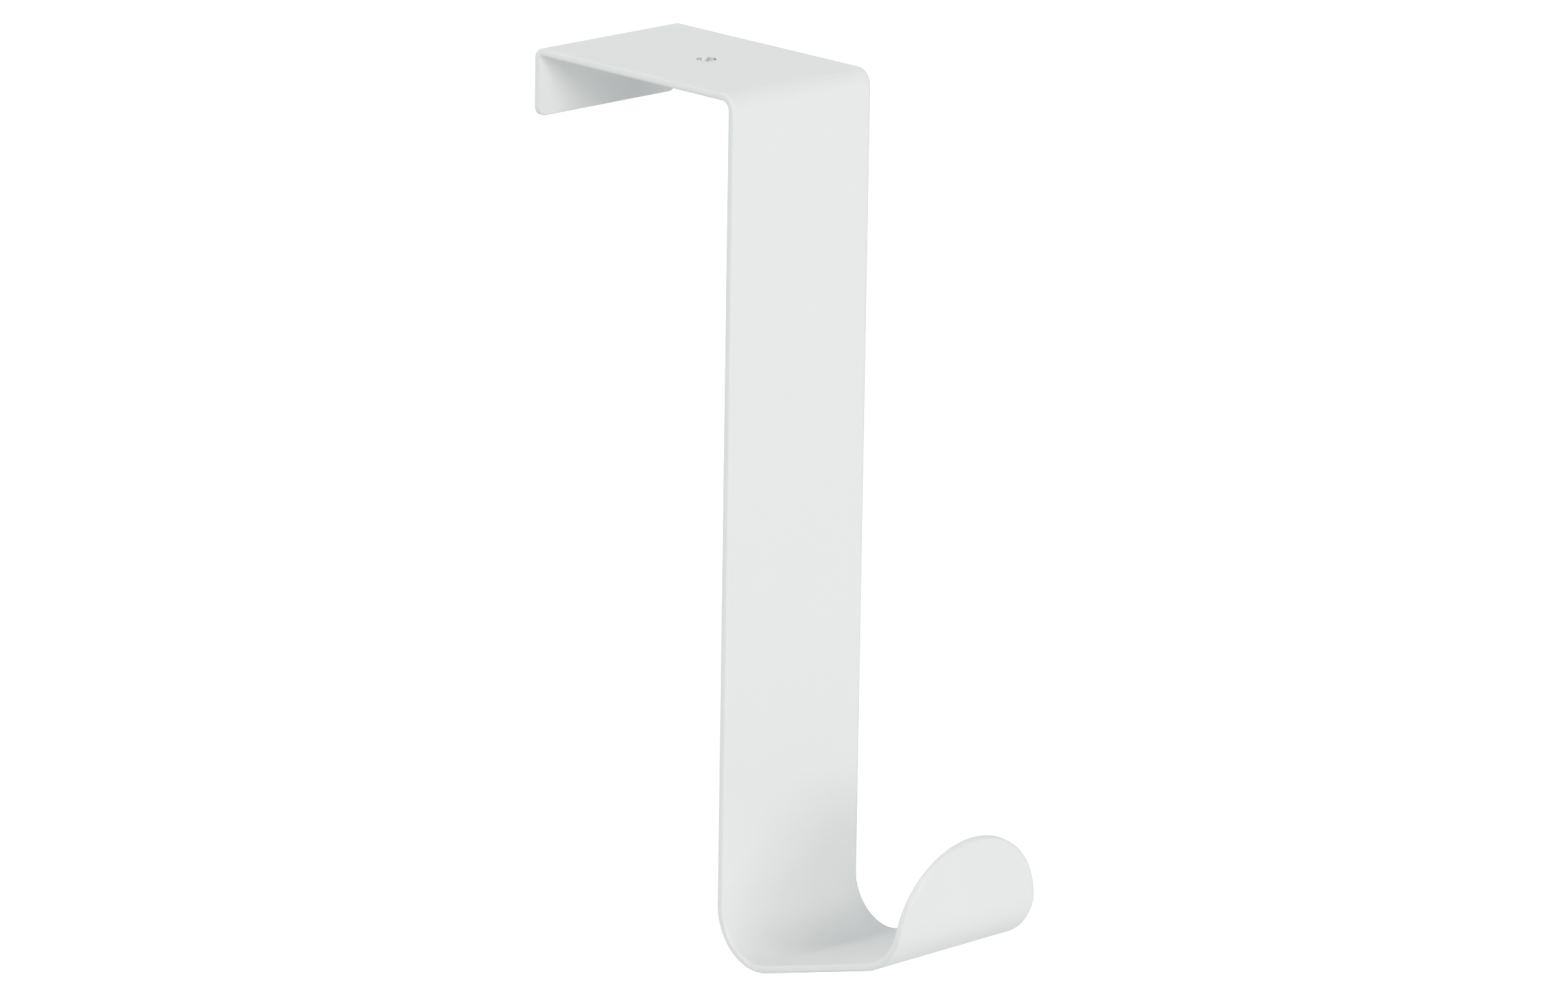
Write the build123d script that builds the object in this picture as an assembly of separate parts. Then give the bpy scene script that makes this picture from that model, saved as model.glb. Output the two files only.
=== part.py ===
from build123d import *
import math
import os

# Over-door hook, folded from one strip of powder-coated sheet steel.
# From the door's far side it makes a short back lip, a top plate, a long shaft, a rising floor and a tongue.
# Origin: middle of the top plate's underside, which rests on the door's top edge.
# +Z is up, -Y faces into the room and X runs across the strip's width. Millimetres and degrees.

# Strip
strip_width = 30.0
sheet = 1.2
lip_corner_radius = 1.5
edge_break = 0.25

# Top plate and back lip: heights from the plate's upper face, bends by their inner radii
door_gap = 43.6
lip_height = 11.2
lip_bend_inner = 0.5
front_bend_inner = 1.5

# Fixing-screw hole, from the shaft's front face
screw_hole_diameter = 3.2
screw_hole_from_front = 22.0
rim_break = 0.1

# Shaft and hook: the floor's angle above level, and the tongue's angle out from upright
overall_height = 141.5
hook_bend_inner = 7.8
floor_rise = 15.0
floor_flat = 23.8
tongue_bend_inner = 8.8
tongue_lean = 7.4
tongue_flat = 12.5


# Direction in the side view, as an angle above level towards the room
def towards_room(angle):
    return Vector(-math.cos(math.radians(angle)), math.sin(math.radians(angle)))


# Distance from the corner of two straight runs to where their bend begins
def setback(radius, turn):
    return radius * math.tan(math.radians(turn / 2))


# Point or direction of the side view, in space
def in_space(side_vector):
    return Vector(0, side_vector.X, side_vector.Y)


# Centre line of the sheet in the side view, half a thickness inside every face
half_sheet = sheet / 2
lip_bend = lip_bend_inner + half_sheet
front_bend = front_bend_inner + half_sheet
hook_bend = hook_bend_inner + half_sheet
tongue_bend = tongue_bend_inner + half_sheet

hook_turn = 90 + floor_rise
tongue_rise = 90 - tongue_lean
tongue_turn = tongue_rise - floor_rise

lip_y = door_gap / 2 + half_sheet
shaft_y = -door_gap / 2 - half_sheet
hook_centre_z = sheet - overall_height + half_sheet + hook_bend
floor_run = setback(hook_bend, hook_turn) + floor_flat + setback(tongue_bend, tongue_turn)
tongue_run = setback(tongue_bend, tongue_turn) + tongue_flat

lip_edge = Vector(lip_y, sheet - lip_height)
lip_corner = Vector(lip_y, half_sheet)
front_corner = Vector(shaft_y, half_sheet)
hook_corner = Vector(shaft_y, hook_centre_z - setback(hook_bend, hook_turn))
tongue_corner = hook_corner + towards_room(floor_rise) * floor_run
tongue_tip = tongue_corner + towards_room(tongue_rise) * tongue_run

centre_line = FilletPolyline(
    lip_edge,
    lip_corner,
    front_corner,
    hook_corner,
    tongue_corner,
    tongue_tip,
    radius=[lip_bend, front_bend, hook_bend, tongue_bend],
)

# Folded strip, still square at both ends
side_view = Plane.YZ * trace(centre_line, line_width=sheet)
strip = extrude(side_view, amount=strip_width / 2, both=True)

# Full round end of the tongue: the corners outside a half circle as wide as the strip come off
tip_radius = strip_width / 2
across = Vector(1, 0, 0)
along_tongue = in_space(towards_room(tongue_rise))
tongue_plane = Plane(origin=in_space(tongue_tip), x_dir=across, z_dir=across.cross(along_tongue))
square_end = Pos(0, -tip_radius / 2) * Rectangle(strip_width + sheet, tip_radius)
end_waste = square_end - Pos(0, -tip_radius) * Circle(tip_radius)
strip -= extrude(tongue_plane * end_waste, amount=tongue_bend_inner, both=True)

# Lower corners of the back lip, rounded in the sheet's plane
lip_corners = strip.edges().filter_by(Axis.Y).group_by(Axis.Y)[-1].group_by(Axis.Z)[0]
strip = fillet(lip_corners, lip_corner_radius)


# Whether an edge is a sharp one: its two faces turn by more than half a right angle
def is_sharp(edge):
    middle = edge.position_at(0.5)
    sides = [face for face in strip.faces() if any(edge.is_same(side) for side in face.edges())]
    return sides[0].normal_at(middle).get_angle(sides[-1].normal_at(middle)) > 45


# Cut edges eased all round the strip, on both its faces
strip = fillet(strip.edges().filter_by(is_sharp), edge_break)

# Hole for a screw into the door's top edge, on the middle of the strip's width, with its two rims eased
hole_centre = Vector(0, -door_gap / 2 - sheet + screw_hole_from_front, half_sheet)
strip -= Pos(hole_centre) * Cylinder(screw_hole_diameter / 2, 2 * sheet)
hole_wall = strip.faces().filter_by(GeomType.CYLINDER).sort_by_distance(hole_centre)[0]
strip = fillet(hole_wall.edges().filter_by(GeomType.CIRCLE), rim_break)

os.makedirs("parts", exist_ok=True)
export_step(strip, "parts/hook_strip.step")
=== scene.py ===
import bpy
import math
from mathutils import Matrix, Vector


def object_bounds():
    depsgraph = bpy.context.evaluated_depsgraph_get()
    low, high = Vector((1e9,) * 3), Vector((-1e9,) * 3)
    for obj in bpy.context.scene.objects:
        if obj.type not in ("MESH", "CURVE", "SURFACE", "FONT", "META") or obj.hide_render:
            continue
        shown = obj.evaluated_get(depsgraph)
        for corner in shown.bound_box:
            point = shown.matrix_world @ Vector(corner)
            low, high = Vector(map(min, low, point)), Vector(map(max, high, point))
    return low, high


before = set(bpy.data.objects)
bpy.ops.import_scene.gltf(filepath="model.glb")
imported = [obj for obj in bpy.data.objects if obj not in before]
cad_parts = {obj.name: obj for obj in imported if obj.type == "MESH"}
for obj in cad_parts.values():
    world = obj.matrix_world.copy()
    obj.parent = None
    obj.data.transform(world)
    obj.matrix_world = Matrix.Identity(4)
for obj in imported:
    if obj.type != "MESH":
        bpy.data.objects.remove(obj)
cad_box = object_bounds()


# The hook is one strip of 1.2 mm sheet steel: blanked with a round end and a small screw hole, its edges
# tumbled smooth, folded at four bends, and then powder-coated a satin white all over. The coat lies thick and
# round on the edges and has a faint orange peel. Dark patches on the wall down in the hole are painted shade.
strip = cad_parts["hook_strip"]

coat_white = (0.807, 0.811, 0.806, 1.0)
coat_shade = (0.799, 0.803, 0.799, 1.0)
coat_roughness = 0.50
coat_roughness_spread = 0.10
cloud_size = 0.016
cloud_detail = 3.0
peel_size = 0.0013
grain_size = 0.00028
peel_detail = 2.0
peel_share = 0.8
peel_depth = 0.00003
edge_softness = 0.0007
edge_samples = 8

# The hole's middle is half way through the plate, and its wall is seen from the front left, so that places on the
# far side of it go by how far they are across that view and how high. Each patch of painted shade on that wall has
# that place, its half width and half height, how far it leans sideways as it rises, and how dark its middle is.
# Painted shade in the hole: its two ends and a slanting band of shadow across its far wall take this dark colour.
hole_shade_colour = (0.17, 0.20, 0.195, 1.0)
hole_middle = Vector((0.0, -0.001, 0.0006))
hole_radius = 0.0016
wall_reach = 1.03
hole_across = Vector((0.72, -0.69, 0.0))
without_height = (1.0, 1.0, 0.0)
hole_shade_patches = (
    (-0.00140, 0.00041, 0.00026, 0.00030, 0.0, 0.85),
    (-0.00096, 0.00033, 0.00026, 0.00040, -0.5, 0.85),
    (0.00027, 0.00022, 0.00050, 0.00100, 0.5, 0.75),
    (0.00075, 0.00025, 0.00050, 0.00090, 0.3, 0.35),
    (0.00130, 0.00042, 0.00030, 0.00032, 0.0, 1.30),
)


class Wire:
    """A socket that a shader node gives out: arithmetic on it adds Math nodes. Without a socket it is the tree alone.
    """

    def __init__(self, tree, socket=None):
        self.tree = tree
        self.socket = socket

    def add(self, kind, settings, sockets, output=0):
        node = self.tree.nodes.new(kind)
        for name, value in settings.items():
            setattr(node, name, value)
        for name, value in sockets.items():
            if isinstance(value, Wire):
                self.tree.links.new(value.socket, node.inputs[name])
            else:
                node.inputs[name].default_value = value
        return Wire(self.tree, node.outputs[output] if node.outputs else None)

    def output(self, name):
        return Wire(self.tree, self.socket.node.outputs[name])

    def maths(self, operation, *values):
        return self.add("ShaderNodeMath", {"operation": operation}, dict(enumerate(values)))

    def __add__(self, other):
        return self.maths("ADD", self, other)

    def __sub__(self, other):
        return self.maths("SUBTRACT", self, other)

    def __rsub__(self, other):
        return self.maths("SUBTRACT", other, self)

    def __mul__(self, other):
        return self.maths("MULTIPLY", self, other)

    def __truediv__(self, other):
        return self.maths("DIVIDE", self, other)

    def __rtruediv__(self, other):
        return self.maths("DIVIDE", other, self)

    __radd__ = __add__
    __rmul__ = __mul__


def new_material(name):
    material = bpy.data.materials.new(name)
    material.use_nodes = True
    material.node_tree.nodes.clear()
    return material, Wire(material.node_tree)


powder_coat, shade = new_material("white_powder_coat")
place = shade.add("ShaderNodeTexCoord", {}, {}, "Object")


def noise_of(size, detail):
    return shade.add("ShaderNodeTexNoise", {}, {"Vector": place, "Scale": 1.0 / size, "Detail": detail}, "Fac")


def mix_colour(share, first, second):
    # The Mix node's share, its two colours and its result are the sockets 0, 6, 7 and 2.
    return shade.add("ShaderNodeMix", {"data_type": "RGBA"}, {0: share, 6: first, 7: second}, 2)


clouds = noise_of(cloud_size, cloud_detail)
peel = noise_of(peel_size, peel_detail)
grain = noise_of(grain_size, peel_detail)

from_middle = shade.add("ShaderNodeVectorMath", {"operation": "SUBTRACT"}, {0: place, 1: hole_middle})
in_plane = shade.add("ShaderNodeVectorMath", {"operation": "MULTIPLY"}, {0: from_middle, 1: without_height})
from_axis = shade.add("ShaderNodeVectorMath", {"operation": "LENGTH"}, {0: in_plane}, "Value")
sideways = shade.add("ShaderNodeVectorMath", {"operation": "DOT_PRODUCT"}, {0: from_middle, 1: hole_across}, "Value")
upwards = shade.add("ShaderNodeSeparateXYZ", {}, {0: from_middle}, "Z")
# Painted shade: the patches below darken only the hole's wall, where it lies in shade.
on_wall = shade.maths("LESS_THAN", from_axis, hole_radius * wall_reach)
hole_shade = 0.0
for across, level, half_width, half_height, lean, shade_depth in hole_shade_patches:
    rise = upwards - level
    off = (sideways - across - lean * rise) / half_width
    up = rise / half_height
    patch = shade_depth * (1.0 - shade.maths("SQRT", off * off + up * up))
    hole_shade = shade.maths("MAXIMUM", hole_shade, patch)

coat_colour = mix_colour(clouds, coat_white, coat_shade)
rounded = shade.add("ShaderNodeBevel", {"samples": edge_samples}, {"Radius": edge_softness})
texture = peel_share * peel + (1.0 - peel_share) * grain
relief = shade.add(
    "ShaderNodeBump", {}, {"Height": texture, "Distance": peel_depth, "Normal": rounded}, "Normal"
)
# The base colour mixes the painted shade of the hole's wall into the coat's colour.
surface = shade.add(
    "ShaderNodeBsdfPrincipled",
    {},
    {
        "Base Color": mix_colour(hole_shade * on_wall, coat_colour, hole_shade_colour),
        "Roughness": coat_roughness + coat_roughness_spread * clouds,
        "Normal": relief,
    },
)
shade.add("ShaderNodeOutputMaterial", {}, {"Surface": surface})

strip.data.materials.clear()
strip.data.materials.append(powder_coat)


# The floor is a plain white sheet, well below the hook, which hangs clear of it. Its paint gives the camera and
# the gloss of the coat the same white as the backdrop, and still takes the hook's shadow.
floor_drop = 0.30
floor_half = 6.0
floor_colour = (0.90, 0.90, 0.90, 1.0)
floor_seen_colour = (1.0, 1.0, 1.0, 1.0)
floor_seen_glow = 0.42

floor_level = cad_box[0].z - floor_drop
floor_corners = [
    (side * floor_half, end * floor_half, floor_level) for side, end in ((-1, -1), (1, -1), (1, 1), (-1, 1))
]
floor_mesh = bpy.data.meshes.new("floor")
floor_mesh.from_pydata(floor_corners, [], [(0, 1, 2, 3)])
floor = bpy.data.objects.new("floor", floor_mesh)
bpy.context.scene.collection.objects.link(floor)


def is_seen(shade):
    path = shade.add("ShaderNodeLightPath", {}, {})
    ways = [path.output(name) for name in ("Is Camera Ray", "Is Glossy Ray", "Is Transmission Ray")]
    return shade.maths("MAXIMUM", shade.maths("MAXIMUM", ways[0], ways[1]), ways[2])


floor_paint, shade = new_material("floor_white")
seen = is_seen(shade)
sheet_white = shade.add("ShaderNodeBsdfDiffuse", {}, {"Color": floor_colour})
glow = shade.add("ShaderNodeEmission", {}, {"Color": floor_seen_colour, "Strength": floor_seen_glow * seen})
lit = shade.add("ShaderNodeAddShader", {}, {0: sheet_white, 1: glow})
shade.add("ShaderNodeOutputMaterial", {}, {"Surface": lit})
floor_mesh.materials.append(floor_paint)


# The studio round the hook is a dim, cool room, which softens the lamps' shadows, and what the camera and the
# gloss of the coat see of it is a plain white backdrop.
room_colour = (0.03, 0.075, 0.085, 1.0)
backdrop_colour = (1.0, 1.0, 1.0, 1.0)

world = bpy.data.worlds.new("studio")
bpy.context.scene.world = world
world.use_nodes = True
world.node_tree.nodes.clear()
shade = Wire(world.node_tree)
seen = is_seen(shade)
room = shade.add("ShaderNodeBackground", {}, {"Color": room_colour})
backdrop = shade.add("ShaderNodeBackground", {}, {"Color": backdrop_colour})
studio = shade.add("ShaderNodeMixShader", {}, {0: seen, 1: room, 2: backdrop})
shade.add("ShaderNodeOutputWorld", {}, {"Surface": studio})


# Seven big soft lamps of one warm white stand a long way off, so that they light each flat face evenly. Each has
# the direction it shines from, as the angle from straight in front towards the hook's right and the height above
# level, then the angle that it fills, and its level, where 1 shows a facing surface in its own colour.
lamp_colour = (1.0, 0.97, 0.96)
lamps = {
    "key": (-30, 30, 30, 0.387),
    "low_front": (-15, 2, 30, 0.237),
    "right_front": (15, 30, 30, 0.204),
    "right_side": (90, 30, 60, 0.115),
    "rear_left": (-120, 45, 30, 0.307),
    "low_rear": (-150, 15, 60, 0.266),
    "rear_right": (150, 45, 60, 0.134),
}

for name, (around, height, spread, level) in lamps.items():
    lamp_data = bpy.data.lights.new(name, "SUN")
    lamp_data.energy = math.pi * level
    lamp_data.color = lamp_colour
    lamp_data.angle = math.radians(spread)
    lamp = bpy.data.objects.new(name, lamp_data)
    a, h = math.radians(around), math.radians(height)
    towards_lamp = Vector((math.sin(a) * math.cos(h), -math.cos(a) * math.cos(h), math.sin(h)))
    lamp.rotation_mode = "QUATERNION"
    lamp.rotation_quaternion = towards_lamp.to_track_quat("Z", "Y")
    bpy.context.scene.collection.objects.link(lamp)


# The camera stands in the room in front of the door, to the left of the hook and a little above it. It has a long
# lens and leans a little to one side, so the way to its right and the way up are given with its place.
camera_place = Vector((-0.949394, -1.001563, 0.307838))
camera_right = Vector((0.72150668, -0.69224224, 0.01512590))
camera_up = Vector((0.17239396, 0.20075359, 0.96435383))
lens = 204.41
film_width = 36.0

camera_data = bpy.data.cameras.new("camera")
camera_data.lens = lens
camera_data.sensor_width = film_width
camera = bpy.data.objects.new("camera", camera_data)
camera_back = camera_right.cross(camera_up)
turn = Matrix((camera_right, camera_up, camera_back)).transposed()
camera.matrix_world = Matrix.Translation(camera_place) @ turn.to_4x4()
bpy.context.scene.collection.objects.link(camera)
bpy.context.scene.camera = camera

bpy.context.scene.view_settings.view_transform = "Standard"
